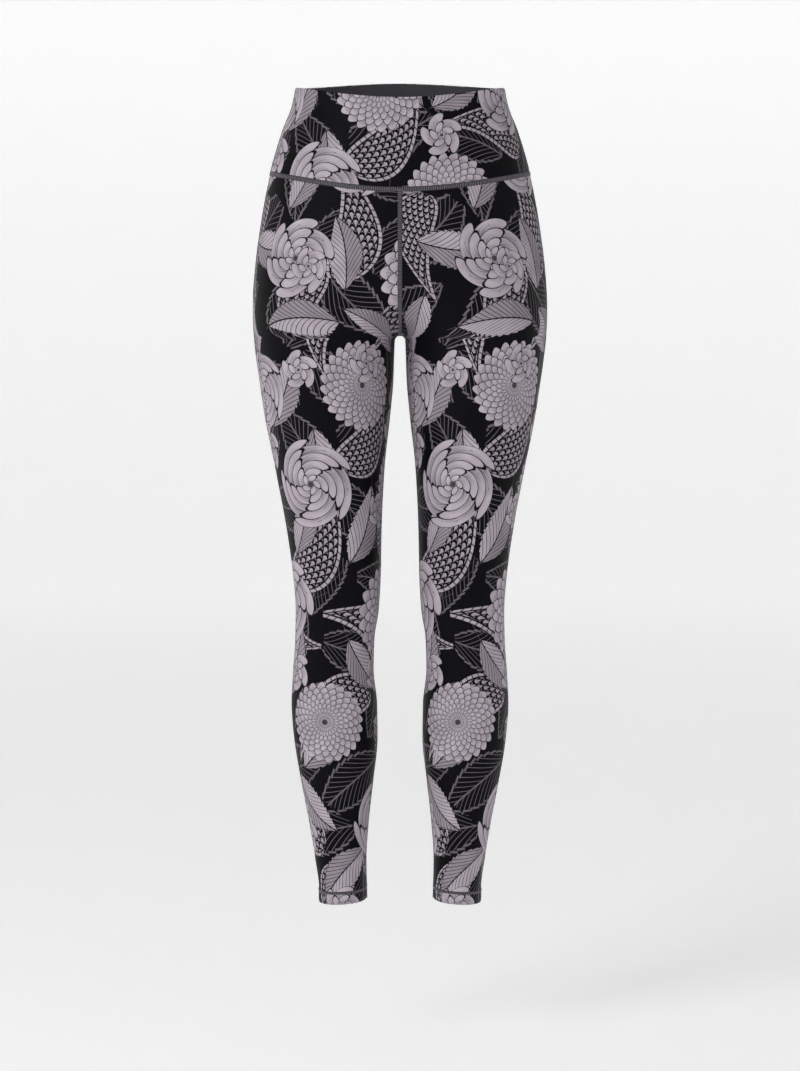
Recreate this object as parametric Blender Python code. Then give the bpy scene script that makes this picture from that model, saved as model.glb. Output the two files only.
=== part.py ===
"""Full-length high-waisted leggings, in the hollow shape that they take when worn.

Frame: metres, +X to the wearer's left, -Y to the front, +Z up. The origin is the middle of
the waist opening, level with the top edge at the two sides, where the wearer holds them up.

The garment is cut as four pieces: a front and a back waistband, folded double at the top and
joined at the sides, and two legs, each cut in one piece and closed along its own inseam. The
legs meet on the middle plane, in the front and back rise, and end in turned hems.

The form is a stack of level sections. In each, one leg's loop is a superellipse between an
inner and an outer reach. Near the middle plane the loop is folded: x = sqrt(X * X - fold * fold),
so that the two legs' loops join in one smooth body wherever the loop would cross the plane,
and part in a rounded arch at the crotch.
"""
import bmesh
import bpy
import numpy as np

MM = 0.001

# Cloth and seams
CLOTH = 1.2 * MM              # wall of a single layer
BAND_CLOTH = 2.4 * MM         # wall of the doubled waistband
HEM_CLOTH = 2.2 * MM          # wall of the turned hem
SEAM_GAP = 0.3 * MM           # clearance between two pieces at a seam

# Top edge and waist seam, as heights at the side, centre front and centre back
TOP_EDGE = {"side": 0.0, "front": -13 * MM, "back": 8 * MM}
WAIST_SEAM = {"side": -96 * MM, "front": -114.5 * MM, "back": -92 * MM}

# Crotch and hems
CROTCH = -279 * MM            # lowest point of the rise, on the middle plane
CROTCH_SIDE = -306 * MM       # height at the outer side of the row that ends at the crotch
HEM_OUTER = -929 * MM         # hem edge at the outer side of the leg
HEM_INNER = -925 * MM         # hem edge at the inseam
HEM_DEPTH = 14 * MM           # height of the turned hem

BAND_HALF_GIRTH = 330 * MM    # about half the waist, which turns a side seam's gap into a share

# Level sections of one leg's loop, from the hem up, in millimetres. "outer" is the half width
# of the garment, "inner" the loop's reach towards the middle plane before folding, "front" and
# "back" its ends in depth, "fold" the folding distance. "square" is the superellipse's power.
SECTION_COLUMNS = ("height", "outer", "inner", "front", "back", "square", "fold")
SECTIONS = (
    (-940, 93.8, 38.4, -31.5, 45.5, 2.20, 8),
    (-916, 93.2, 39.2, -31.5, 44.5, 2.20, 8),
    (-880, 97.6, 39.9, -33.5, 45.0, 2.15, 8),
    (-840, 104.1, 37.5, -37.0, 47.5, 2.10, 8),
    (-790, 113.4, 32.2, -42.5, 54.0, 2.10, 8),
    (-740, 121.5, 27.4, -49.0, 60.5, 2.10, 8),
    (-700, 124.2, 27.9, -54.0, 60.5, 2.10, 8),
    (-660, 122.2, 31.7, -59.5, 54.5, 2.15, 8),
    (-625, 119.5, 30.8, -65.0, 47.5, 2.20, 8),
    (-590, 118.8, 25.9, -69.5, 45.0, 2.20, 8),
    (-550, 121.7, 23.7, -74.0, 49.5, 2.20, 8),
    (-500, 128.5, 22.8, -80.0, 60.0, 2.15, 8),
    (-430, 141.6, 19.7, -86.5, 76.0, 2.10, 8),
    (-370, 153.7, 14.1, -91.0, 91.0, 2.10, 8),
    (-330, 159.8, 11.3, -93.0, 99.5, 2.15, 8),
    (-300, 164.0, 10.6, -94.0, 106.5, 2.20, 8),
    (-284, 165.7, 10.1, -94.5, 110.5, 2.25, 8),
    (-279, 166.1, 8.0, -94.7, 111.8, 2.25, 8),
    (-270, 166.8, 3.0, -95.2, 114.0, 2.25, 10),
    (-258, 167.2, -7.0, -96.0, 117.0, 2.30, 14),
    (-235, 166.9, -40.0, -97.8, 121.2, 2.30, 22),
    (-200, 164.3, -96.0, -100.0, 122.5, 2.30, 26),
    (-150, 157.3, -144.0, -101.0, 114.5, 2.30, 24),
    (-100, 147.5, -147.5, -99.5, 101.0, 2.25, 22),
    (-50, 133.0, -133.0, -94.5, 91.0, 2.20, 20),
    (-20, 121.4, -121.4, -90.0, 88.0, 2.15, 20),
    (0, 117.5, -117.5, -88.0, 88.0, 2.15, 20),
    (15, 116.0, -116.0, -87.5, 88.5, 2.15, 20),
)

# Mesh density
LEG_COLUMNS = 32
BODY_ROWS = 10                # from the waist seam to the crotch
LEG_ROWS = 19                 # from the crotch to the top of the hem
BAND_COLUMNS = 32             # round each half of the waistband
BAND_ROWS = 3
BAND_FOLD_STEPS = 4           # round the fold at the top edge
RISE_SAMPLES = 200
LOOP_SAMPLES = 193

COLLECTION_NAME = "leggings"


def clear_scene():
    for item in list(bpy.data.objects):
        bpy.data.objects.remove(item, do_unlink=True)


def new_collection(name):
    collection = bpy.data.collections.new(name)
    bpy.context.scene.collection.children.link(collection)
    return collection


def printed_cloth(name, colour, roughness):
    """A matte knitted cloth of one mean colour."""
    material = bpy.data.materials.new(name)
    material.use_nodes = True
    shader = material.node_tree.nodes["Principled BSDF"]
    shader.inputs["Base Color"].default_value = (*colour, 1.0)
    shader.inputs["Roughness"].default_value = roughness
    shader.inputs["Metallic"].default_value = 0.0
    return material


# ---- The form ----

def section_value(z, name):
    """Monotone cubic through one column of the section table, read at heights z."""
    table = np.array(SECTIONS)
    heights = table[:, 0] * MM
    unit = 1.0 if name == "square" else MM
    values = table[:, SECTION_COLUMNS.index(name)] * unit
    secant = np.diff(values) / np.diff(heights)
    slopes = np.concatenate((secant[:1], np.zeros(len(secant) - 1), secant[-1:]))
    before, after = secant[:-1], secant[1:]
    steady = before * after > 0
    slopes[1:-1][steady] = 2 * (before * after)[steady] / (before + after)[steady]
    k = np.clip(np.searchsorted(heights, z) - 1, 0, len(heights) - 2)
    step = heights[k + 1] - heights[k]
    t = (z - heights[k]) / step
    rising = t * t * (3 - 2 * t)
    bend = step * (slopes[k] * t * (1 - t) ** 2 - slopes[k + 1] * t * t * (1 - t))
    return values[k] * (1 - rising) + values[k + 1] * rising + bend


def signed_power(value, power):
    return np.sign(value) * np.abs(value) ** power


def form_points(share, z):
    """Points of the left half of the form, at share (0 to 1) of the way round at heights z.

    Share 0 is the centre front, or the inseam below the crotch, 0.5 is near the outer side and
    1 is the centre back, or the inseam again. Equal shares are equal lengths of cloth.
    """
    share, z = np.broadcast_arrays(share, z)
    level = z[..., None]
    fold = section_value(level, "fold")
    outer = np.hypot(section_value(level, "outer"), fold)
    inner = section_value(level, "inner")
    middle, reach = (outer + inner) / 2, (outer - inner) / 2
    front, back = section_value(level, "front"), section_value(level, "back")
    power = 2 / section_value(level, "square")
    cut = np.clip((fold - middle) / reach, -1, 1)
    end = np.arccos(signed_power(cut, 1 / power))
    angle = end * np.linspace(-1, 1, LOOP_SAMPLES)
    across = middle + reach * signed_power(np.cos(angle), power)
    x = np.sqrt(np.maximum(across ** 2 - fold ** 2, 0))
    y = (front + back) / 2 + (back - front) / 2 * signed_power(np.sin(angle), power)
    run = np.cumsum(np.hypot(np.diff(x), np.diff(y)), axis=-1)
    run = np.concatenate((np.zeros_like(run[..., :1]), run), axis=-1)
    target = share[..., None] * run[..., -1:]
    k = np.clip((run < target).sum(axis=-1, keepdims=True) - 1, 0, LOOP_SAMPLES - 2)
    low, high = np.take_along_axis(run, k, -1), np.take_along_axis(run, k + 1, -1)
    t = (target - low) / np.maximum(high - low, 1e-9)
    point_x = np.take_along_axis(x, k, -1) * (1 - t) + np.take_along_axis(x, k + 1, -1) * t
    point_y = np.take_along_axis(y, k, -1) * (1 - t) + np.take_along_axis(y, k + 1, -1) * t
    return np.stack((point_x[..., 0], point_y[..., 0], z), axis=-1)


def level_line(share, side, front, back):
    """Height of a line round the form, eased between its side, front and back heights."""
    ease = np.cos(np.pi * share) ** 2
    end = np.where(share < 0.5, front, back)
    return side + (end - side) * ease


def rise_heights(top, share, rows):
    """Heights that divide the rise from the waist seam to the crotch in equal lengths."""
    drop = np.linspace(1, 0, RISE_SAMPLES) ** 2
    z = CROTCH + (top - CROTCH) * drop
    points = form_points(np.full_like(z, share), z)
    run = np.cumsum(np.linalg.norm(np.diff(points, axis=0), axis=1))
    run = np.concatenate(([0], run))
    return np.interp(np.linspace(0, run[-1], rows + 1), run, z)


def surface_normals(points):
    """Unit normals of a grid of points, rows by columns, pointing out of the form."""
    along = np.gradient(points, axis=0)
    across = np.gradient(points, axis=1)
    normals = np.cross(across, -along)
    return normals / np.linalg.norm(normals, axis=-1, keepdims=True)


# ---- Meshes ----

def closed_wall(name, rings, open_rows, collection, material):
    """A closed body from rings of the wall's own outline.

    rings is an array (outline, columns, 3): each column is one closed outline of the wall, and
    neighbouring columns are joined. The first and last columns are capped over the outline's
    points in open_rows, pairs of outer and inner points, and are welded to each other elsewhere.
    """
    outline, columns = rings.shape[:2]
    bm = bmesh.new()
    verts = [[bm.verts.new(point) for point in row] for row in rings]
    for i in range(outline):
        following = verts[(i + 1) % outline]
        for j in range(columns - 1):
            bm.faces.new((verts[i][j], verts[i][j + 1], following[j + 1], following[j]))
    for (a, b), (c, d) in zip(open_rows[:-1], open_rows[1:]):
        for end in (0, -1):
            corners = dict.fromkeys(verts[point][end] for point in (a, c, d, b))
            bm.faces.new(tuple(corners))
    bmesh.ops.remove_doubles(bm, verts=bm.verts, dist=SEAM_GAP / 30)
    bmesh.ops.recalc_face_normals(bm, faces=bm.faces)
    mesh = bpy.data.meshes.new(name)
    bm.to_mesh(mesh)
    bm.free()
    mesh.shade_smooth()
    mesh.materials.append(material)
    part = bpy.data.objects.new(name, mesh)
    collection.objects.link(part)
    return part


def leg_rows():
    """Heights of the leg's rows at the front, back and outer side, and the wall at each."""
    front_top, back_top = WAIST_SEAM["front"] - SEAM_GAP / 2, WAIST_SEAM["back"] - SEAM_GAP / 2
    side_top = WAIST_SEAM["side"] - SEAM_GAP / 2
    front = rise_heights(front_top, 0.0, BODY_ROWS)
    back = rise_heights(back_top, 1.0, BODY_ROWS)
    side = np.linspace(side_top, CROTCH_SIDE, BODY_ROWS + 1)
    # Rows crowd just below the crotch, where the inner side turns from the arch to the inseam.
    down = np.linspace(0, 1, LEG_ROWS + 1)[1:] ** 1.35
    inseam = CROTCH + (HEM_INNER + HEM_DEPTH + CLOTH - CROTCH) * down
    outseam = CROTCH_SIDE + (HEM_OUTER + HEM_DEPTH + CLOTH - CROTCH_SIDE) * down
    hem = np.array((HEM_DEPTH, 0.0))
    wall = np.concatenate((np.full(BODY_ROWS + 1 + LEG_ROWS, CLOTH), np.full(2, HEM_CLOTH)))
    front = np.concatenate((front, inseam, HEM_INNER + hem))
    back = np.concatenate((back, inseam, HEM_INNER + hem))
    side = np.concatenate((side, outseam, HEM_OUTER + hem))
    return front, back, side, wall


def build_leg(name, hand, collection, material):
    """One leg: a wall from the waist seam to the hem, open above the crotch, a tube below it.

    hand is 1 for the left leg and -1 for the right leg, its mirror image.
    """
    # Columns crowd towards the rise and the inseam, where the form turns fastest.
    even = np.linspace(0, 1, LEG_COLUMNS + 1)
    share = 0.65 * even + 0.35 * (1 - np.cos(np.pi * even)) / 2
    front, back, side, wall = leg_rows()
    z = level_line(share[None, :], side[:, None], front[:, None], back[:, None])
    outer = form_points(share[None, :], z)
    normals = surface_normals(outer)
    seam = (normals[:, 0] + normals[:, -1]) / 2
    normals[BODY_ROWS:, 0] = seam[BODY_ROWS:]
    normals[BODY_ROWS:, -1] = seam[BODY_ROWS:]
    normals[:BODY_ROWS + 1, (0, -1), 0] = 0
    normals /= np.linalg.norm(normals, axis=-1, keepdims=True)
    inner = outer - normals * wall[:, None, None]
    for grid in (outer, inner):
        grid[..., 0] = np.maximum(grid[..., 0], SEAM_GAP / 2)
    rings = np.concatenate((outer, inner[::-1]))
    rings[..., 0] *= hand
    last = len(rings) - 1
    open_rows = [(row, last - row) for row in range(BODY_ROWS + 1)]
    return closed_wall(name, rings, open_rows, collection, material)


def build_band(name, facing, collection, material):
    """Half of the waistband, from side seam to side seam, folded double at the top edge.

    facing is 1 for the front and -1 for the back.
    """
    sweep = np.linspace(-1, 1, BAND_COLUMNS + 1)
    share = np.abs(sweep) * (0.5 - SEAM_GAP / 2 / BAND_HALF_GIRTH)
    if facing < 0:
        share = 1 - share
    radius = BAND_CLOTH / 2
    top = level_line(share, TOP_EDGE["side"], TOP_EDGE["front"], TOP_EDGE["back"]) - radius
    seam = level_line(share, WAIST_SEAM["side"], WAIST_SEAM["front"], WAIST_SEAM["back"])
    seam = seam + SEAM_GAP / 2
    outer = form_points(share, top + (seam - top) * np.linspace(0, 1, BAND_ROWS + 1)[:, None])
    outer[..., 0] *= np.sign(sweep)
    normals = surface_normals(outer) * facing
    # At the side seams the wall is square to the seam, so that the two halves' ends are parallel.
    normals[:, (0, -1), 1] = 0
    normals /= np.linalg.norm(normals, axis=-1, keepdims=True)
    inner = outer - normals * BAND_CLOTH
    # The fold over the top edge is a half round from the inner wall to the outer one.
    turn = np.linspace(np.pi, 0, BAND_FOLD_STEPS + 1)[1:-1, None, None]
    up = np.array((0.0, 0.0, 1.0))
    fold = outer[0] - normals[0] * radius
    fold = fold + radius * (normals[0] * np.cos(turn) + up * np.sin(turn))
    rings = np.concatenate((outer, inner[::-1], fold))
    last = 2 * BAND_ROWS + 1
    walls = [(row, last - row) for row in range(BAND_ROWS + 1)]
    end = len(rings) - 1
    rounding = [(end - step, last + 1 + step) for step in range(BAND_FOLD_STEPS // 2)]
    return closed_wall(name, rings, rounding[::-1] + walls, collection, material)


def main():
    clear_scene()
    collection = new_collection(COLLECTION_NAME)
    cloth = printed_cloth("printed_jersey", (0.19, 0.17, 0.19), 0.62)
    build_band("waistband_front", 1, collection, cloth)
    build_band("waistband_back", -1, collection, cloth)
    build_leg("leg_left", 1, collection, cloth)
    build_leg("leg_right", -1, collection, cloth)


main()
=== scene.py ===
"""Leggings: the looks. Printed jersey shells, seams and thread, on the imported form."""
import math

import bmesh
import bpy
import numpy as np
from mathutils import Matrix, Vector


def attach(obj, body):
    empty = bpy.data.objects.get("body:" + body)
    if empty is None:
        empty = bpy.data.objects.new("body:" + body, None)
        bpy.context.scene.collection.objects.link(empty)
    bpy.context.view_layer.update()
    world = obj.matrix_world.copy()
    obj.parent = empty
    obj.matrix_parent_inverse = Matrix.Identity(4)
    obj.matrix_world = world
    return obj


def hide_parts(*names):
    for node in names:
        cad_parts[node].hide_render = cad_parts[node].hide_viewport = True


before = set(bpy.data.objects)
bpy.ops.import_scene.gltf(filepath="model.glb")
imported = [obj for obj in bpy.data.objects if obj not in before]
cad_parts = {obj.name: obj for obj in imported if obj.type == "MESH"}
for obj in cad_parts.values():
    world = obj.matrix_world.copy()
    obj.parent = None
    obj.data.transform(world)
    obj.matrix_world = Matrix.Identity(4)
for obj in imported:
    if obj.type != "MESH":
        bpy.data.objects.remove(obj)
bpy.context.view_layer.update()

MM = 0.001

# ---- Sizes of the garment, as in the part's own source ----
CLOTH = 1.2 * MM
BAND_CLOTH = 2.4 * MM
HEM_CLOTH = 2.2 * MM
SEAM_GAP = 0.3 * MM
TOP_EDGE = {"side": 0.0, "front": -13 * MM, "back": 8 * MM}
WAIST_SEAM = {"side": -96 * MM, "front": -114.5 * MM, "back": -92 * MM}
CROTCH = -279 * MM
CROTCH_SIDE = -306 * MM
HEM_OUTER = -929 * MM
HEM_INNER = -925 * MM
HEM_DEPTH = 14 * MM
BAND_HALF_GIRTH = 330 * MM

# Relief of the turned hem: how far it stands out and how soft its upper step is; how far the
# edge rolls in, how much thinner it gets there, and over what height.
HEM_PROUD = 0.35 * MM
HEM_STEP = 0.7 * MM
LIP_ROLL = 0.6 * MM
LIP_THINNING = 0.7 * MM
LIP_REACH = 1.2 * MM

# Level sections of one leg's loop, from the hem up, in millimetres. "outer" is the half width
# of the garment, "inner" the loop's reach towards the middle plane before folding, "front" and
# "back" its ends in depth, "fold" the folding distance. "square" is the superellipse's power.
SECTION_COLUMNS = ("height", "outer", "inner", "front", "back", "square", "fold")
SECTIONS = (
    (-940, 93.8, 38.4, -31.5, 45.5, 2.20, 8),
    (-916, 93.2, 39.2, -31.5, 44.5, 2.20, 8),
    (-880, 97.6, 39.9, -33.5, 45.0, 2.15, 8),
    (-840, 104.1, 37.5, -37.0, 47.5, 2.10, 8),
    (-790, 113.4, 32.2, -42.5, 54.0, 2.10, 8),
    (-740, 121.5, 27.4, -49.0, 60.5, 2.10, 8),
    (-700, 124.2, 27.9, -54.0, 60.5, 2.10, 8),
    (-660, 122.2, 31.7, -59.5, 54.5, 2.15, 8),
    (-625, 119.5, 30.8, -65.0, 47.5, 2.20, 8),
    (-590, 118.8, 25.9, -69.5, 45.0, 2.20, 8),
    (-550, 121.7, 23.7, -74.0, 49.5, 2.20, 8),
    (-500, 128.5, 22.8, -80.0, 60.0, 2.15, 8),
    (-430, 141.6, 19.7, -86.5, 76.0, 2.10, 8),
    (-370, 153.7, 14.1, -91.0, 91.0, 2.10, 8),
    (-330, 159.8, 11.3, -93.0, 99.5, 2.15, 8),
    (-300, 164.0, 10.6, -94.0, 106.5, 2.20, 8),
    (-284, 165.7, 10.1, -94.5, 110.5, 2.25, 8),
    (-279, 166.1, 8.0, -94.7, 111.8, 2.25, 8),
    (-270, 166.8, 3.0, -95.2, 114.0, 2.25, 10),
    (-258, 167.2, -7.0, -96.0, 117.0, 2.30, 14),
    (-235, 166.9, -40.0, -97.8, 121.2, 2.30, 22),
    (-200, 164.3, -96.0, -100.0, 122.5, 2.30, 26),
    (-150, 157.3, -144.0, -101.0, 114.5, 2.30, 24),
    (-100, 147.5, -147.5, -99.5, 101.0, 2.25, 22),
    (-50, 133.0, -133.0, -94.5, 91.0, 2.20, 20),
    (-20, 121.4, -121.4, -90.0, 88.0, 2.15, 20),
    (0, 117.5, -117.5, -88.0, 88.0, 2.15, 20),
    (15, 116.0, -116.0, -87.5, 88.5, 2.15, 20),
)

# Mesh density
LOOP_SAMPLES = 129
LEG_COLUMNS = 128
BODY_ROWS = 80                # from the waist seam to the crotch
LEG_ROWS = 200                # from the crotch to the hem
BAND_COLUMNS = 192            # round each half of the waistband
BAND_ROWS = 44
BAND_FOLD_STEPS = 8           # round the fold at the top edge
RISE_SAMPLES = 200
PATH_SAMPLES = 1500           # along each sewn line

# Soft creases: share of the way round, height, half length and half width in mm, depth in mm
# (below zero is a trough) and lean, the height gained in mm per unit of share.
CREASE_GIRTH = 430 * MM       # turns a share of the way round into a length
CREASES = (
    (0.10, -272, 46, 7, -0.9, 260), (0.14, -296, 40, 8, 0.7, 200), (0.08, -322, 34, 7, -0.6, 150),
    (0.92, -268, 50, 8, -1.1, -280), (0.88, -296, 52, 9, 0.9, -240), (0.90, -330, 44, 8, -0.8, -160),
    (0.76, -596, 40, 6, -1.1, 40), (0.80, -618, 36, 7, 0.9, -60), (0.72, -640, 30, 6, -0.7, 50),
    (0.20, -886, 30, 6, -0.7, 30), (0.34, -868, 26, 6, 0.6, -40), (0.70, -880, 32, 6, -0.8, 40),
    (0.84, -900, 26, 5, -0.6, -30), (0.25, -620, 34, 9, -0.5, 60), (0.62, -850, 26, 6, 0.5, 30),
)


# ---- The form ----

def section_value(z, name):
    """Monotone cubic through one column of the section table, read at heights z."""
    table = np.array(SECTIONS)
    heights = table[:, 0] * MM
    unit = 1.0 if name == "square" else MM
    values = table[:, SECTION_COLUMNS.index(name)] * unit
    secant = np.diff(values) / np.diff(heights)
    slopes = np.concatenate((secant[:1], np.zeros(len(secant) - 1), secant[-1:]))
    before, after = secant[:-1], secant[1:]
    steady = before * after > 0
    slopes[1:-1][steady] = 2 * (before * after)[steady] / (before + after)[steady]
    k = np.clip(np.searchsorted(heights, z) - 1, 0, len(heights) - 2)
    step = heights[k + 1] - heights[k]
    t = (z - heights[k]) / step
    rising = t * t * (3 - 2 * t)
    bend = step * (slopes[k] * t * (1 - t) ** 2 - slopes[k + 1] * t * t * (1 - t))
    return values[k] * (1 - rising) + values[k + 1] * rising + bend


def signed_power(value, power):
    return np.sign(value) * np.abs(value) ** power


def form_points(share, z):
    """Points of the left half at share (0 to 1) of the way round at heights z, and the girth.

    x = sqrt(X^2 - fold^2), where X and y run round a superellipse; share is by arc length.
    """
    share, z = np.broadcast_arrays(np.asarray(share, float), np.asarray(z, float))
    level = z[..., None]
    fold = section_value(level, "fold")
    outer = np.hypot(section_value(level, "outer"), fold)
    inner = section_value(level, "inner")
    middle, reach = (outer + inner) / 2, (outer - inner) / 2
    front, back = section_value(level, "front"), section_value(level, "back")
    power = 2 / section_value(level, "square")
    cut = np.clip((fold - middle) / reach, -1, 1)
    angle = np.arccos(signed_power(cut, 1 / power)) * np.linspace(-1, 1, LOOP_SAMPLES)
    across = middle + reach * signed_power(np.cos(angle), power)
    x = np.sqrt(np.maximum(across ** 2 - fold ** 2, 0))
    y = (front + back) / 2 + (back - front) / 2 * signed_power(np.sin(angle), power)
    run = np.cumsum(np.hypot(np.diff(x), np.diff(y)), axis=-1)
    run = np.concatenate((np.zeros_like(run[..., :1]), run), axis=-1)
    target = share[..., None] * run[..., -1:]
    k = np.clip((run < target).sum(axis=-1, keepdims=True) - 1, 0, LOOP_SAMPLES - 2)
    low, high = np.take_along_axis(run, k, -1), np.take_along_axis(run, k + 1, -1)
    t = (target - low) / np.maximum(high - low, 1e-9)
    point_x = np.take_along_axis(x, k, -1) * (1 - t) + np.take_along_axis(x, k + 1, -1) * t
    point_y = np.take_along_axis(y, k, -1) * (1 - t) + np.take_along_axis(y, k + 1, -1) * t
    return np.stack((point_x[..., 0], point_y[..., 0], z), axis=-1), run[..., -1]


def level_line(share, side, front, back):
    """Height of a line round the form: side + (end - side) * cos(pi * share)^2."""
    end = np.where(share < 0.5, front, back)
    return side + (end - side) * np.cos(np.pi * share) ** 2


def rise_heights(top, share, rows):
    """Heights that divide the rise from the waist seam to the crotch in equal lengths."""
    z = CROTCH + (top - CROTCH) * np.linspace(1, 0, RISE_SAMPLES) ** 2
    points, _ = form_points(np.full_like(z, share), z)
    run = np.concatenate(([0], np.cumsum(np.linalg.norm(np.diff(points, axis=0), axis=1))))
    return np.interp(np.linspace(0, run[-1], rows + 1), run, z)


def unit(vectors):
    return vectors / np.maximum(np.linalg.norm(vectors, axis=-1, keepdims=True), 1e-12)


def surface_normals(points):
    """Unit normals of a grid of points, rows from the top down, pointing out of the form."""
    return unit(np.cross(np.gradient(points, axis=1), -np.gradient(points, axis=0)))


def crease_height(share, z):
    """Sum of soft troughs and ridges: depth * exp(-(a / length)^2 - (b / width)^2)."""
    total = np.zeros_like(z)
    for centre, height, length, width, depth, lean in CREASES:
        along = (share - centre) * CREASE_GIRTH
        off = z - height * MM - (share - centre) * lean * MM
        total += depth * MM * np.exp(-(along / (length * MM)) ** 2 - (off / (width * MM)) ** 2)
    return total


# ---- The print: where each kind of motif lies on the cloth ----

PRINT_WIDTH, PRINT_LENGTH = 0.95, 1.15    # printed cloth that the net of motifs covers
PRINT_LEFT, PRINT_TOP = -0.46, 0.06
HEX_ROW = 0.866                           # row spacing of a hexagonal net, as a share
SHAKE = 0.13                              # largest shift of a motif, as a share of the spacing
SMALLEST = 0.78                           # smallest motif, as a share of the largest


def scatter(spacing, radius, keep, seed):
    """Motif places on a shaken hexagonal net: columns s, z, turn, radius."""
    rng = np.random.default_rng(seed)
    rows = int(PRINT_LENGTH / (spacing * HEX_ROW)) + 1
    columns = int(PRINT_WIDTH / spacing) + 1
    j, i = np.meshgrid(np.arange(columns), np.arange(rows))
    s = (PRINT_LEFT + spacing * (j + 0.5 * (i % 2))).ravel()
    z = (PRINT_TOP - spacing * HEX_ROW * i).ravel()
    count = len(s)
    s = s + rng.uniform(-SHAKE, SHAKE, count) * spacing
    z = z + rng.uniform(-SHAKE, SHAKE, count) * spacing
    turn = rng.uniform(-math.pi, math.pi, count)
    size = radius * rng.uniform(SMALLEST, 1.0, count)
    kept = rng.uniform(0, 1, count) < keep
    return np.stack((s, z, turn, size), axis=-1)[kept]


# Each kind of motif: its places, from the net's spacing, the radius, the share kept and a seed.
MOTIFS = {
    "line_leaf": scatter(0.088, 0.062, 1.0, 11),
    "paisley": scatter(0.128, 0.072, 0.95, 5),
    "leaf": scatter(0.092, 0.050, 0.72, 23),
    "flower": scatter(0.150, 0.054, 0.86, 8),
    "blossom": scatter(0.105, 0.027, 0.66, 31),
}

# Kinds of large flower: petals in a ring, rings, and how far the rings swirl.
FLOWER_KINDS = np.array(((24, 8, 0.15), (5, 5, 1.6), (17, 6, 0.0), (6, 4, 0.9)))
KIND_STEP = 7                 # mixes the kinds over neighbouring flowers

# Shift of the print on the front and the back of the waistband, in metres.
BAND_PRINT = {1: (0.07, -0.33), -1: (-0.12, -0.61)}


def print_maps(mesh, cloth, offset):
    """Give each face's corners their place in the nearest motif of each kind, as UV maps.

    cloth is (faces, 4, 2): the corners' places on the cloth in metres. A corner's place in a
    motif is its offset from the motif's middle, turned by its angle and divided by its radius.
    """
    cloth = cloth + np.array(offset)
    middle = cloth.mean(axis=1)
    for name, places in MOTIFS.items():
        gap = np.linalg.norm(middle[:, None, :] - places[None, :, :2], axis=-1)
        pick = np.argmin(gap / places[None, :, 3], axis=1)
        nearest = places[pick]
        away = cloth - nearest[:, None, :2]
        c, s = np.cos(nearest[:, 2])[:, None], np.sin(nearest[:, 2])[:, None]
        size = nearest[:, 3][:, None]
        local = np.stack(((c * away[..., 0] + s * away[..., 1]) / size,
                          (c * away[..., 1] - s * away[..., 0]) / size), axis=-1)
        layer = mesh.uv_layers.new(name=name, do_init=False)
        layer.data.foreach_set("uv", local.astype(np.float32).ravel())
        if name == "flower":
            kind = FLOWER_KINDS[(pick * KIND_STEP) % len(FLOWER_KINDS)]
            attribute = mesh.attributes.new("flower_kind", "FLOAT_VECTOR", "FACE")
            attribute.data.foreach_set("vector", kind.astype(np.float32).ravel())
    layer = mesh.uv_layers.new(name="cloth", do_init=False)
    layer.data.foreach_set("uv", cloth.astype(np.float32).ravel())


def new_piece(name, mesh):
    """A smooth object for a mesh, in the scene."""
    mesh.shade_smooth()
    piece = bpy.data.objects.new(name, mesh)
    bpy.context.scene.collection.objects.link(piece)
    return piece


def wall_mesh(name, rings, cloth, open_rows, inside_rows, offset, flip):
    """A wall from rings (outline, columns, 3), with its print maps and two materials.

    The pairs in open_rows face each other across the wall, from the top down, and are capped
    at both ends. A leg's other rows run all the way round and are welded end to end.
    """
    outline, columns = rings.shape[:2]
    index = np.arange(outline * columns).reshape(outline, columns)
    i, j = np.meshgrid(np.arange(outline), np.arange(columns - 1), indexing="ij")
    following = (i + 1) % outline
    quads = np.stack((index[i, j], index[following, j], index[following, j + 1],
                      index[i, j + 1]), axis=-1).reshape(-1, 4)
    inner = np.isin(i, inside_rows).ravel()
    caps = []
    for (a, b), (c, d) in zip(open_rows[:-1], open_rows[1:]):
        if a != b:
            caps.append((index[a, 0], index[b, 0], index[d, 0], index[c, 0]))
            caps.append((index[a, -1], index[c, -1], index[d, -1], index[b, -1]))
    quads = np.concatenate((quads, np.array(caps)))
    inner = np.concatenate((inner, np.ones(len(caps), bool)))
    weld = np.arange(outline * columns)
    open_set = {row for pair in open_rows[:-1] for row in pair}
    if len(open_rows) < outline // 2:
        closed = np.array([row for row in range(outline) if row not in open_set])
        weld[index[closed, -1]] = index[closed, 0]
    welded = weld[quads]
    used, compact = np.unique(welded, return_inverse=True)
    faces = compact.reshape(-1, 4)
    if flip:
        faces, quads = faces[:, ::-1], quads[:, ::-1]
    mesh = bpy.data.meshes.new(name)
    mesh.from_pydata(rings.reshape(-1, 3)[used], [], faces)
    print_maps(mesh, cloth.reshape(-1, 2)[quads], offset)
    mesh.polygons.foreach_set("material_index", inner.astype(np.int32))
    mesh.update()
    return new_piece(name, mesh)


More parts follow.
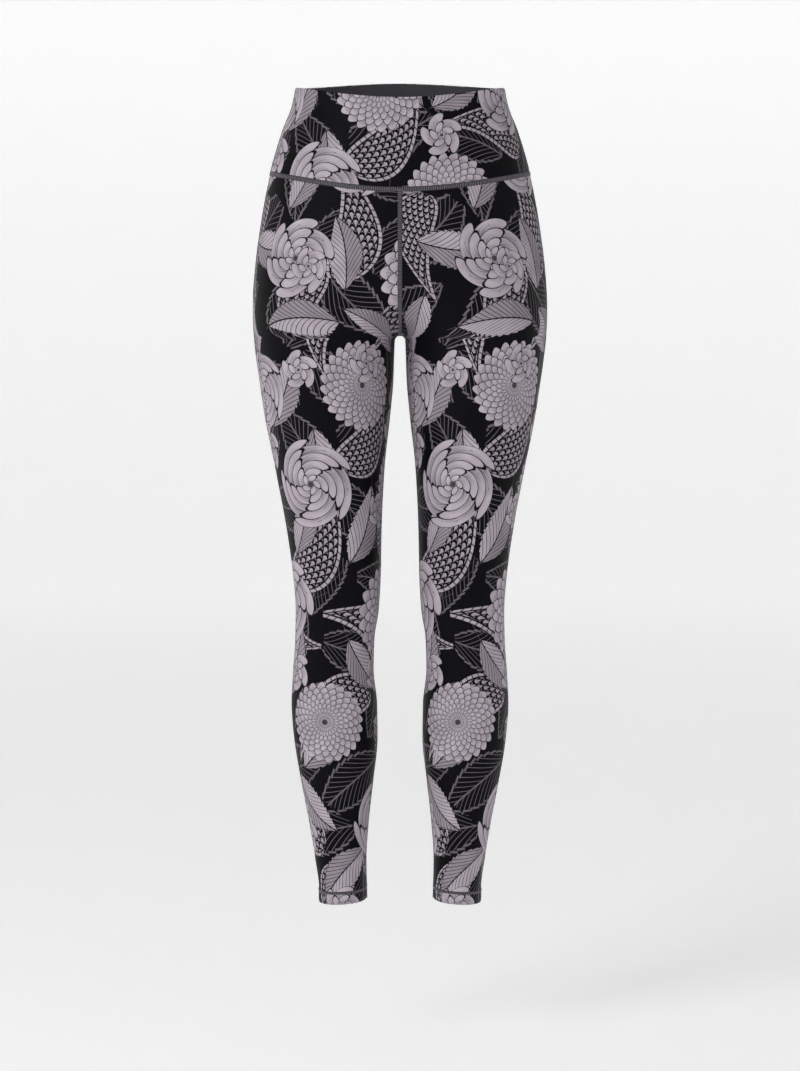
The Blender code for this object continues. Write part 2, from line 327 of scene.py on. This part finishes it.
def build_leg(name, hand):
    """One leg: outer wall on the form with its creases, inner wall one cloth inside it.

    Columns lie closer at the front and back rise, and rows closer under the crotch.
    """
    even = np.linspace(0, 1, LEG_COLUMNS + 1)
    share = 0.7 * even + 0.3 * (1 - np.cos(np.pi * even)) / 2
    front = rise_heights(WAIST_SEAM["front"] - SEAM_GAP / 2, 0.0, BODY_ROWS)
    back = rise_heights(WAIST_SEAM["back"] - SEAM_GAP / 2, 1.0, BODY_ROWS)
    side = np.linspace(WAIST_SEAM["side"] - SEAM_GAP / 2, CROTCH_SIDE, BODY_ROWS + 1)
    down = np.linspace(0, 1, LEG_ROWS + 1)[1:] ** 1.25
    inseam = CROTCH + (HEM_INNER - CROTCH) * down
    front, back = np.concatenate((front, inseam)), np.concatenate((back, inseam))
    side = np.concatenate((side, CROTCH_SIDE + (HEM_OUTER - CROTCH_SIDE) * down))
    z = level_line(share[None, :], side[:, None], front[:, None], back[:, None])
    outer, girth = form_points(share[None, :], z)
    normals = surface_normals(outer)
    seam = (normals[:, 0] + normals[:, -1]) / 2
    normals[BODY_ROWS:, 0], normals[BODY_ROWS:, -1] = seam[BODY_ROWS:], seam[BODY_ROWS:]
    normals[:BODY_ROWS + 1, (0, -1), 0] = 0
    normals = unit(normals)
    hem_height = z - level_line(share[None, :], HEM_OUTER, HEM_INNER, HEM_INNER)
    turned = 1 / (1 + np.exp((hem_height - HEM_DEPTH) / HEM_STEP))
    lip = np.exp(-(hem_height / LIP_REACH) ** 2)
    ends = np.sin(np.pi * np.clip(share, 0, 1))[None, :] ** 0.5
    relief = crease_height(np.broadcast_to(share, z.shape), z) * ends
    relief = relief + HEM_PROUD * turned - LIP_ROLL * lip
    wall = CLOTH + (HEM_CLOTH - CLOTH) * turned - LIP_THINNING * lip
    outer = outer + normals * relief[..., None]
    inner = outer - normals * wall[..., None]
    for grid in (outer, inner):
        grid[..., 0] = np.maximum(grid[..., 0], SEAM_GAP / 2)
    rings = np.concatenate((outer, inner[::-1]))
    rings[..., 0] *= hand
    flat = np.stack((hand * (share[None, :] - 0.25) * girth, z), axis=-1)
    cloth = np.concatenate((flat, flat[::-1]))
    last = len(rings) - 1
    open_rows = [(row, last - row) for row in range(BODY_ROWS + 1)]
    inside = np.arange(len(outer), len(rings))
    return wall_mesh(name, rings, cloth, open_rows, inside, (0.0, 0.0), hand < 0)


def build_band(name, facing):
    """Half of the waistband, folded double over a half round at the top edge."""
    sweep = np.linspace(-1, 1, BAND_COLUMNS + 1)
    share = np.abs(sweep) * (0.5 - SEAM_GAP / 2 / BAND_HALF_GIRTH)
    if facing < 0:
        share = 1 - share
    radius = BAND_CLOTH / 2
    top = level_line(share, TOP_EDGE["side"], TOP_EDGE["front"], TOP_EDGE["back"]) - radius
    seam = level_line(share, WAIST_SEAM["side"], WAIST_SEAM["front"], WAIST_SEAM["back"])
    seam = seam + SEAM_GAP / 2
    z = top + (seam - top) * np.linspace(0, 1, BAND_ROWS + 1)[:, None]
    outer, girth = form_points(share, z)
    outer[..., 0] *= np.sign(sweep)
    normals = surface_normals(outer) * facing
    normals[:, (0, -1), 1] = 0
    normals = unit(normals)
    inner = outer - normals * BAND_CLOTH
    turn = np.linspace(np.pi, 0, BAND_FOLD_STEPS + 1)[1:-1, None, None]
    fold = outer[0] - normals[0] * radius
    fold = fold + radius * (normals[0] * np.cos(turn) + np.array((0, 0, 1.0)) * np.sin(turn))
    rings = np.concatenate((outer, inner[::-1], fold))
    arc = np.sign(sweep) * np.where(share < 0.5, share, 1 - share) * girth
    flat = np.stack((arc, z), axis=-1)
    folded = np.repeat(flat[:1], len(fold), axis=0)
    cloth = np.concatenate((flat, flat[::-1], folded))
    last = 2 * BAND_ROWS + 1
    end = len(rings) - 1
    walls = [(row, last - row) for row in range(BAND_ROWS + 1)]
    rounding = [(end - step, last + 1 + step) for step in range(BAND_FOLD_STEPS // 2 - 1)]
    inside = np.arange(len(outer), 2 * len(outer))
    return wall_mesh(name, rings, cloth, rounding[::-1] + walls, inside, BAND_PRINT[facing],
                     facing < 0)


# ---- Thread ----

TINY = 1e-4                   # step for directions on the form
THREAD_RADIUS = 0.28 * MM
THREAD_LIFT = 0.42 * MM
TAPE_LIFT = 0.35 * MM


def seam_frame(share, z, hand, middle_plane=False):
    """Points, directions and normals along a seam on the form.

    On the middle plane the way round the form is straight across, in +X or -X.
    """
    points, _ = form_points(share, z)
    inward = np.where(share > 0.5, -1, 1)
    beside, _ = form_points(share + inward * TINY, z)
    below, _ = form_points(share, z - TINY)
    round_way = unit((beside - points) * inward[:, None])
    down = unit(below - points)
    if middle_plane:
        round_way = np.where(share[:, None] < 0.5, 1, -1) * np.array((1.0, 0, 0))
    path = unit(np.gradient(points, axis=0))
    normals = unit(np.cross(round_way, -down))
    path = unit(path - normals * (path * normals).sum(-1, keepdims=True))
    for field in (points, path, normals):
        field[..., 0] *= hand
    return points, path, normals


def even_steps(points, pitch):
    """Indices into a fine path that fall a pitch apart along it."""
    run = np.concatenate(([0], np.cumsum(np.linalg.norm(np.diff(points, axis=0), axis=1))))
    stops = np.searchsorted(run, np.arange(pitch / 2, run[-1], pitch))
    return np.unique(stops.clip(0, len(run) - 1))


def thread_mesh(name, middles, ways, normals, length, radius, lift):
    """Stitches: six-sided threads, each bowed up in the middle and dipping at its two ends."""
    steps = np.array((-1.0, -0.75, -0.3, 0.3, 0.75, 1.0))
    bow = np.array((-1.0, 0.1, 0.8, 0.8, 0.1, -1.0))
    size = np.array((0.5, 0.9, 1.0, 1.0, 0.9, 0.5))
    stations, sides = len(steps), 6
    turn = np.linspace(0, 2 * np.pi, sides + 1)[:-1]
    side = unit(np.cross(normals, ways))
    spine = middles[:, None] + ways[:, None] * (steps * length / 2)[:, None]
    spine = spine + normals[:, None] * (lift + bow * radius * 0.6)[:, None]
    rim = side[:, None, None] * (np.cos(turn) * radius)[:, None]
    rim = rim + normals[:, None, None] * (np.sin(turn) * radius)[:, None]
    rings = spine[:, :, None] + rim * size[None, :, None, None]
    k, a, b = np.meshgrid(np.arange(len(middles)), np.arange(stations - 1), np.arange(sides),
                          indexing="ij")
    base = (k * stations + a) * sides
    after = (b + 1) % sides
    quads = np.stack((base + b, base + after, base + sides + after, base + sides + b), axis=-1)
    first = np.arange(len(middles))[:, None] * stations * sides
    last = first + (stations - 1) * sides
    faces = quads.reshape(-1, 4).tolist()
    faces += (first + np.arange(sides)[::-1]).tolist() + (last + np.arange(sides)).tolist()
    mesh = bpy.data.meshes.new(name)
    mesh.from_pydata(rings.reshape(-1, 3), [], faces)
    return new_piece(name, mesh)


def seam_tape(name, paths, width, lift):
    """The looper thread's flat cover over a seam: a low cambered strip along each path."""
    profile = np.array(((-1, -0.4), (-0.94, 0.6), (-0.5, 1), (0, 0.86), (0.5, 1), (0.94, 0.6),
                        (1, -0.4)))
    verts, faces, start = [], [], 0
    for points, path, normals in paths:
        side = unit(np.cross(normals, path))
        across = points[:, None] + side[:, None] * (profile[:, 0] * width / 2)[:, None]
        grid = across + normals[:, None] * (profile[:, 1] * lift)[:, None]
        rows, columns = grid.shape[:2]
        index = start + np.arange(rows * columns).reshape(rows, columns)
        around = np.roll(index, -1, axis=1)
        quads = np.stack((index[:-1], index[1:], around[1:], around[:-1]), axis=-1)
        faces += quads.reshape(-1, 4).tolist()
        faces += [index[0].tolist(), index[-1][::-1].tolist()]
        verts.append(grid.reshape(-1, 3))
        start += rows * columns
    mesh = bpy.data.meshes.new(name)
    mesh.from_pydata(np.concatenate(verts), [], faces)
    return new_piece(name, mesh)


def recalculate(piece):
    """Turn the faces of closed bodies outwards."""
    bm = bmesh.new()
    bm.from_mesh(piece.data)
    bmesh.ops.recalc_face_normals(bm, faces=bm.faces)
    bm.to_mesh(piece.data)
    bm.free()


def seam_paths():
    """Every sewn line: name to a list of (points, directions, normals)."""
    fine = np.linspace(0, 1, PATH_SAMPLES)
    lines = {"waist_seam": [], "rise_seam": [], "inseam": [], "hem_seam": [], "band_side": []}
    for hand in (1, -1):
        z = level_line(fine, WAIST_SEAM["side"], WAIST_SEAM["front"], WAIST_SEAM["back"])
        lines["waist_seam"].append(seam_frame(fine, z, hand))
        z = level_line(fine, HEM_OUTER, HEM_INNER, HEM_INNER) + HEM_DEPTH - 1 * MM
        lines["hem_seam"].append(seam_frame(fine, z, hand))
        z = CROTCH - 2 * MM + (HEM_INNER + 1 * MM - CROTCH) * fine
        lines["inseam"].append(seam_frame(np.full_like(z, TINY), z, hand))
        z = WAIST_SEAM["side"] - 1 * MM + 95 * MM * fine
        lines["band_side"].append(seam_frame(np.full_like(z, 0.5), z, hand))
    for share, top in ((0.0, WAIST_SEAM["front"]), (1.0, WAIST_SEAM["back"])):
        z = CROTCH + 0.05 * MM + (top - CROTCH) * fine[::-1] ** 2
        lines["rise_seam"].append(seam_frame(np.full_like(z, share), z, 1, middle_plane=True))
    return lines


# ---- Materials ----

class Nodes:
    """Short calls for building a node tree in order."""

    def __init__(self, tree):
        self.tree = tree

    def add(self, kind, **settings):
        node = self.tree.nodes.new(kind)
        for key, value in settings.items():
            setattr(node, key, value)
        return node

    def plug(self, value, socket):
        if isinstance(value, bpy.types.NodeSocket):
            self.tree.links.new(value, socket)
        else:
            socket.default_value = value

    def math(self, operation, *values, clamp=False):
        node = self.add("ShaderNodeMath", operation=operation, use_clamp=clamp)
        for value, socket in zip(values, node.inputs):
            self.plug(value, socket)
        return node.outputs[0]

    def plus(self, a, b, clamp=False):
        return self.math("ADD", a, b, clamp=clamp)

    def minus(self, a, b, clamp=False):
        return self.math("SUBTRACT", a, b, clamp=clamp)

    def times(self, a, b, clamp=False):
        return self.math("MULTIPLY", a, b, clamp=clamp)

    def size(self, value):
        return self.math("ABSOLUTE", value)

    def fraction(self, value):
        return self.math("FRACT", value)

    def below(self, value, edge, soft):
        """1 where value is below edge, with a soft step of that width."""
        node = self.add("ShaderNodeMapRange", interpolation_type="SMOOTHSTEP")
        self.plug(value, node.inputs["Value"])
        self.plug(self.minus(edge, soft), node.inputs["From Min"])
        self.plug(self.plus(edge, soft), node.inputs["From Max"])
        node.inputs["To Min"].default_value = 1.0
        node.inputs["To Max"].default_value = 0.0
        return node.outputs["Result"]

    def mix(self, factor, a, b):
        """a where factor is 0 and b where it is 1: a + (b - a) * factor."""
        return self.math("MULTIPLY_ADD", self.minus(b, a), factor, a)

    def mix_colour(self, factor, a, b):
        node = self.add("ShaderNodeMix", data_type="RGBA")
        self.plug(factor, node.inputs[0])
        self.plug(a, node.inputs[6])
        self.plug(b, node.inputs[7])
        return node.outputs[2]

    def parts(self, vector):
        node = self.add("ShaderNodeSeparateXYZ")
        self.plug(vector, node.inputs[0])
        return node.outputs[0], node.outputs[1], node.outputs[2]

    def uv_map(self, name):
        return self.add("ShaderNodeUVMap", uv_map=name).outputs[0]

    def group(self, tree, place):
        node = self.add("ShaderNodeGroup")
        node.node_tree = tree
        self.plug(place, node.inputs["Place"])
        return node

    def noise(self, place, scale):
        node = self.add("ShaderNodeTexNoise")
        node.inputs["Scale"].default_value = scale
        self.plug(place, node.inputs["Vector"])
        return node.outputs["Fac"]

    def bump(self, height, strength, distance):
        node = self.add("ShaderNodeBump")
        node.inputs["Strength"].default_value = strength
        node.inputs["Distance"].default_value = distance
        self.plug(height, node.inputs["Height"])
        return node.outputs[0]


def new_group(name, inputs, outputs):
    """A shader node group with named sockets."""
    tree = bpy.data.node_groups.new(name, "ShaderNodeTree")
    for label, kind in inputs:
        tree.interface.new_socket(label, in_out="INPUT", socket_type=kind)
    for label in outputs:
        tree.interface.new_socket(label, in_out="OUTPUT", socket_type="NodeSocketFloat")
    nodes = Nodes(tree)
    return nodes, nodes.add("NodeGroupInput").outputs, nodes.add("NodeGroupOutput").inputs


def flower_group():
    """Layered petals: scales laid in rings, each ring's tips a row of arches.

    ring = floor(b), b = r^0.8 * (rings + 0.8). A point lies in the inner ring's petal while
    fract(b) < 0.84 * cos(pi * u), with u the place across that petal.
    """
    tip_reach, ring_power, spare_rings = 0.84, 0.8, 0.8
    n, i, o = new_group("layered_petals", (("Place", "NodeSocketVector"),
                        ("Petals", "NodeSocketFloat"), ("Rings", "NodeSocketFloat"),
                        ("Swirl", "NodeSocketFloat")), ("Mask", "Tone"))
    x, y, _ = n.parts(i["Place"])
    r = n.math("SQRT", n.plus(n.times(x, x), n.times(y, y)))
    angle = n.math("DIVIDE", n.math("ARCTAN2", y, x), 2 * math.pi)
    angle = n.plus(angle, n.times(r, n.times(i["Swirl"], 0.4)))
    b = n.times(n.math("POWER", r, ring_power), n.plus(i["Rings"], spare_rings))
    ring = n.math("FLOOR", b)
    f = n.fraction(b)
    a = n.times(angle, i["Petals"])
    shift = n.times(ring, 0.5)
    u_in = n.minus(n.fraction(n.plus(a, n.plus(shift, 0.5))), 0.5)
    u_out = n.minus(n.fraction(n.plus(a, shift)), 0.5)
    arch = n.times(n.math("COSINE", n.times(u_in, math.pi)), tip_reach)
    reach = n.plus(i["Rings"], arch)
    mask = n.below(b, reach, 0.03)
    inside = n.below(f, arch, 0.02)
    edge = n.size(n.minus(f, arch))
    line = n.below(edge, 0.075, 0.03)
    rim = n.below(n.size(n.minus(b, reach)), 0.09, 0.03)
    side = n.below(n.minus(0.5, n.size(u_out)), 0.035, 0.02)
    side = n.times(side, n.minus(1.0, inside))
    u = n.mix(inside, u_out, u_in)
    along = n.plus(f, inside)
    vein = n.below(n.size(n.math("SINE", n.times(u, 14.0))), 0.24, 0.12)
    vein = n.times(vein, n.below(along, 0.85, 0.35))
    shade = n.plus(n.times(along, 0.42), 0.48)
    shade = n.minus(shade, n.times(vein, 0.45), clamp=True)
    ink = n.math("MAXIMUM", n.math("MAXIMUM", line, rim), side)
    heart = n.below(r, 0.07, 0.02)
    tone = n.times(shade, n.minus(1.0, ink), clamp=True)
    tone = n.mix(heart, tone, 0.12)
    n.plug(mask, o["Mask"])
    n.plug(tone, o["Tone"])
    return n.tree


def leaf_group():
    """A pointed leaf along x: |y| < (1 - x^2) * (0.44 - 0.13 x), bent and with notched edges."""
    veins = 6.5
    n, i, o = new_group("veined_leaf", (("Place", "NodeSocketVector"),),
                        ("Mask", "Tone", "Line"))
    x, y, _ = n.parts(i["Place"])
    y = n.minus(y, n.times(n.times(x, x), 0.16))
    full = n.minus(1.0, n.times(x, x), clamp=True)
    width = n.times(full, n.math("MULTIPLY_ADD", x, -0.13, 0.44))
    notch = n.math("MULTIPLY_ADD", n.fraction(n.times(x, veins)), -0.12, 1.06)
    width = n.times(width, notch)
    off = n.size(y)
    mask = n.below(off, width, 0.008)
    edge = n.size(n.minus(off, width))
    rim = n.times(n.below(edge, 0.022, 0.008), n.below(n.size(x), 0.99, 0.01))
    rib = n.times(n.below(off, 0.016, 0.008), n.below(n.size(x), 0.97, 0.01))
    slant = n.plus(n.times(x, -veins), n.times(n.math("POWER", off, 0.8), 8.0))
    vein = n.size(n.minus(n.fraction(slant), 0.5))
    vein = n.times(n.below(vein, 0.07, 0.035), mask)
    fine = n.size(n.minus(n.fraction(n.times(slant, 4.0)), 0.5))
    half = n.below(y, 0.0, 0.01)
    shade = n.math("MULTIPLY_ADD", half, -0.22, 0.95)
    hatching = n.times(n.below(fine, 0.12, 0.08), n.times(half, 0.35))
    shade = n.minus(shade, hatching)
    ink = n.math("MAXIMUM", n.math("MAXIMUM", rim, rib), vein)
    n.plug(mask, o["Mask"])
    n.plug(n.times(shade, n.minus(1.0, ink), clamp=True), o["Tone"])
    n.plug(ink, o["Line"])
    return n.tree


def paisley_group():
    """A bent teardrop, |v| < sqrt(1 - x^2) * (0.36 - 0.26 x), with v = y + 0.18 - bend.

    It is filled with a scallop net, rows of arches like the flower's, inside a beaded border.
    """
    scallops, border_width = 9.0, 0.085
    n, i, o = new_group("scalloped_paisley", (("Place", "NodeSocketVector"),), ("Mask", "Tone"))
    x, y, _ = n.parts(i["Place"])
    past = n.plus(x, 0.35)
    bend = n.times(n.times(past, past), 0.42)
    v = n.minus(n.plus(y, 0.18), bend)
    full = n.minus(1.0, n.times(x, x), clamp=True)
    width = n.times(n.math("SQRT", full), n.math("MULTIPLY_ADD", x, -0.26, 0.36))
    off = n.size(v)
    mask = n.times(n.below(off, width, 0.01), n.below(n.size(x), 0.98, 0.01))
    depth = n.minus(width, off)
    row = n.times(x, scallops)
    f = n.fraction(row)
    u = n.plus(n.times(v, scallops), n.times(n.math("FLOOR", row), 0.5))
    u = n.minus(n.fraction(u), 0.5)
    arch = n.times(n.math("COSINE", n.times(u, math.pi)), 0.9)
    edge = n.minus(f, arch)
    line = n.below(n.size(edge), 0.15, 0.05)
    inside = n.below(edge, 0.0, 0.02)
    core = n.minus(f, n.times(arch, 0.5))
    pip = n.times(n.below(n.size(core), 0.22, 0.06), inside)
    net = n.math("MULTIPLY_ADD", inside, 0.15, 0.75)
    net = n.times(net, n.minus(1.0, n.math("MAXIMUM", line, pip)), clamp=True)
    border = n.below(depth, border_width, 0.008)
    groove = n.below(n.size(n.minus(depth, border_width)), 0.014, 0.006)
    rim = n.below(n.size(depth), 0.016, 0.006)
    bead = n.below(n.size(n.math("SINE", n.times(x, 30.0))), 0.3, 0.15)
    tone = n.mix(border, net, n.math("MULTIPLY_ADD", bead, -0.75, 0.9))
    tone = n.times(tone, n.minus(1.0, n.math("MAXIMUM", groove, rim)), clamp=True)
    n.plug(mask, o["Mask"])
    n.plug(tone, o["Tone"])
    return n.tree


def knit_group():
    """Fine jersey: wales and courses as a height between 0 and 1 on the cloth map."""
    n, i, o = new_group("jersey_knit", (("Place", "NodeSocketVector"),), ("Height",))
    x, y, _ = n.parts(i["Place"])
    wale_width, course_height = 0.9 * MM, 0.7 * MM
    wale = n.math("SINE", n.times(x, 2 * math.pi / wale_width))
    course = n.math("SINE", n.times(y, 2 * math.pi / course_height))
    height = n.math("MULTIPLY_ADD", n.times(wale, course), 0.25, 0.5)
    n.plug(n.math("MULTIPLY_ADD", wale, 0.2, height), o["Height"])
    return n.tree


def new_material(name):
    """A node material, with short calls for its tree and its shader's inputs."""
    material = bpy.data.materials.new(name)
    material.use_nodes = True
    tree = material.node_tree
    return material, Nodes(tree), tree.nodes["Principled BSDF"].inputs


GROUND = (0.0025, 0.0021, 0.0033, 1)
DEEP_INK = (0.29, 0.25, 0.29, 1)
PALE_INK = (0.56, 0.50, 0.555, 1)
LINE_TONE = 0.30              # the line leaves' ink, as a share of a full motif's
BLOSSOM = {"Petals": 5.0, "Rings": 2.0, "Swirl": 0.6}


def printed_jersey(groups):
    """The printed outside of the cloth: motifs over fine line leaves on a near-black ground."""
    material, n, shader = new_material("printed_jersey")
    sprig = n.group(groups["leaf"], n.uv_map("line_leaf"))
    paisley = n.group(groups["paisley"], n.uv_map("paisley"))
    leaf = n.group(groups["leaf"], n.uv_map("leaf"))
    flower = n.group(groups["flower"], n.uv_map("flower"))
    kind = n.parts(n.add("ShaderNodeAttribute", attribute_name="flower_kind").outputs["Vector"])
    for value, label in zip(kind, ("Petals", "Rings", "Swirl")):
        n.plug(value, flower.inputs[label])
    blossom = n.group(groups["flower"], n.uv_map("blossom"))
    for label, value in BLOSSOM.items():
        n.plug(value, blossom.inputs[label])
    tone = n.times(sprig.outputs["Line"], LINE_TONE)
    for motif in (paisley, leaf, flower, blossom):
        tone = n.mix(motif.outputs["Mask"], tone, motif.outputs["Tone"])
    cloth = n.uv_map("cloth")
    ink = n.mix_colour(n.noise(cloth, 38.0), DEEP_INK, PALE_INK)
    n.plug(n.mix_colour(tone, GROUND, ink), shader["Base Color"])
    n.plug(n.math("MULTIPLY_ADD", tone, 0.12, 0.55), shader["Roughness"])
    shader["Specular IOR Level"].default_value = 0.06
    shader["Sheen Weight"].default_value = 0.01
    shader["Sheen Roughness"].default_value = 0.4
    knit = n.group(groups["knit"], cloth)
    n.plug(n.bump(knit.outputs["Height"], 0.25, 0.15 * MM), shader["Normal"])
    return material


def plain_jersey(groups):
    """The unprinted inside of the cloth: charcoal, with the knit showing."""
    material, n, shader = new_material("jersey_inside")
    cloth = n.uv_map("cloth")
    dark, light = (0.030, 0.028, 0.034, 1), (0.055, 0.051, 0.060, 1)
    n.plug(n.mix_colour(n.noise(cloth, 60.0), dark, light), shader["Base Color"])
    shader["Roughness"].default_value = 0.8
    knit = n.group(groups["knit"], cloth)
    n.plug(n.bump(knit.outputs["Height"], 0.4, 0.2 * MM), shader["Normal"])
    return material


def thread_material(name, dark, light):
    """Twisted sewing thread, dull, with a fine ply."""
    material, n, shader = new_material(name)
    ply = n.noise(n.add("ShaderNodeTexCoord").outputs["Object"], 900.0)
    n.plug(n.mix_colour(ply, dark, light), shader["Base Color"])
    shader["Roughness"].default_value = 0.6
    n.plug(n.bump(ply, 0.5, 0.1 * MM), shader["Normal"])
    return material


# ---- Build ----

groups = {"flower": flower_group(), "leaf": leaf_group(), "paisley": paisley_group(),
          "knit": knit_group()}
OUTSIDE = printed_jersey(groups)
INSIDE = plain_jersey(groups)
DARK_THREAD = thread_material("dark_thread", (0.008, 0.007, 0.010, 1), (0.022, 0.020, 0.026, 1))
PALE_THREAD = thread_material("pale_thread", (0.13, 0.115, 0.135, 1), (0.27, 0.245, 0.275, 1))

# Flat sizes of the cut pieces: width and length in metres, and the area of the shaped piece.
CUTS = {
    "leg_left": ((0.50, 0.84), 0.272),
    "leg_right": ((0.50, 0.84), 0.272),
    "waistband_front": ((0.34, 0.1025), 0.0345),
    "waistband_back": ((0.34, 0.1025), 0.0345),
}


def build_garment():
    for name, hand in (("leg_left", 1), ("leg_right", -1)):
        yield name, build_leg(name + "_cloth", hand)
    for name, facing in (("waistband_front", 1), ("waistband_back", -1)):
        yield name, build_band(name + "_cloth", facing)


for node, piece in build_garment():
    piece.data.materials.append(OUTSIDE)
    piece.data.materials.append(INSIDE)
    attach(piece, "root")
    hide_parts(node)
    flat, area = CUTS[node]

# Sewn lines: tape width, stitch pitch and length in millimetres, and whether stitches cross it.
SEWN = {
    "waist_seam": (5.6, 2.0, 4.4, True),
    "rise_seam": (5.4, 2.2, 4.2, True),
    "inseam": (4.4, 2.4, 3.4, True),
    "hem_seam": (4.2, 2.2, 3.2, True),
    "band_side": (1.6, 2.4, 1.8, False),
}
for seam, paths in seam_paths().items():
    tape_width, pitch, length, crossing = SEWN[seam]
    tape = seam_tape(seam + "_tape", paths, tape_width * MM, TAPE_LIFT)
    recalculate(tape)
    tape.data.materials.append(DARK_THREAD)
    middles, ways, normals = [], [], []
    for points, path, outward in paths:
        pick = even_steps(points, pitch * MM)
        middles.append(points[pick])
        ways.append(np.cross(outward, path)[pick] if crossing else path[pick])
        normals.append(outward[pick])
    threads = thread_mesh(seam + "_thread", np.concatenate(middles),
                          unit(np.concatenate(ways)), np.concatenate(normals),
                          length * MM, THREAD_RADIUS, THREAD_LIFT)
    recalculate(threads)
    threads.data.materials.append(PALE_THREAD if crossing else DARK_THREAD)
    for piece in (tape, threads):
        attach(piece, "root")


# ---- Studio ----

PAPER_GLOW = 0.37
MIDDLE = (0, 0, -0.45)        # what the lights point at
EYE = (0.0, -4.0, -0.151)
TIPPED_DOWN = 5.08            # degrees
LENS = 118.4                  # millimetres


def build_stage():
    """A pale round floor that sweeps up into a wall all round, open above."""
    floor_z, floor_radius, bend_radius, wall_height = -1.09, 5.0, 1.5, 3.0
    turn = np.linspace(0, np.pi / 2, 14)
    radius = np.concatenate(([0.02, 2.0], floor_radius + bend_radius * np.sin(turn)))
    z = np.concatenate(([0, 0], bend_radius * (1 - np.cos(turn)))) + floor_z
    radius, z = np.append(radius, radius[-1]), np.append(z, z[-1] + wall_height)
    angle = np.linspace(0, 2 * np.pi, 73)[:-1]
    grid = np.stack(np.broadcast_arrays(radius[:, None] * np.cos(angle),
                                        radius[:, None] * np.sin(angle), z[:, None]), axis=-1)
    index = np.arange(len(z) * len(angle)).reshape(len(z), len(angle))
    after = np.roll(index, -1, axis=1)
    faces = np.stack((index[:-1], after[:-1], after[1:], index[1:]), axis=-1).reshape(-1, 4)
    mesh = bpy.data.meshes.new("studio_sweep")
    mesh.from_pydata(grid.reshape(-1, 3), [], faces.tolist() + [index[0][::-1].tolist()])
    material, _, shader = new_material("studio_paper")
    shader["Base Color"].default_value = (0.88, 0.88, 0.88, 1)
    shader["Roughness"].default_value = 0.9
    shader["Emission Color"].default_value = (1, 1, 1, 1)
    shader["Emission Strength"].default_value = PAPER_GLOW
    mesh.materials.append(material)
    sweep = new_piece("studio_sweep", mesh)


def area_light(name, place, target, size, power):
    light = bpy.data.lights.new(name, "AREA")
    light.shape = "RECTANGLE"
    light.size, light.size_y = size
    light.energy = power
    lamp = bpy.data.objects.new(name, light)
    lamp.location = place
    lamp.rotation_euler = (Vector(target) - Vector(place)).to_track_quat("-Z", "Y").to_euler()
    bpy.context.scene.collection.objects.link(lamp)


def build_camera():
    """Eye level with the hips, tipped down a little, so the hems' ovals show."""
    camera = bpy.data.cameras.new("camera")
    camera.lens = LENS
    eye = bpy.data.objects.new("camera", camera)
    eye.location = EYE
    eye.rotation_euler = (math.radians(90 - TIPPED_DOWN), 0, 0)
    bpy.context.scene.collection.objects.link(eye)
    bpy.context.scene.camera = eye


build_stage()
area_light("key", (-2.4, -2.6, 1.2), MIDDLE, (1.6, 2.4), 56)
area_light("fill", (2.6, -3.0, 0.4), MIDDLE, (2.0, 2.6), 4)
area_light("top", (0.0, 0.2, 2.6), MIDDLE, (3.0, 3.0), 5)
world = bpy.data.worlds.new("studio")
world.use_nodes = True
background = world.node_tree.nodes["Background"].inputs
background["Color"].default_value = (1, 1, 1, 1)
background["Strength"].default_value = 0.12
bpy.context.scene.world = world
bpy.context.scene.view_settings.view_transform = "Standard"
build_camera()

bpy.context.view_layer.update()
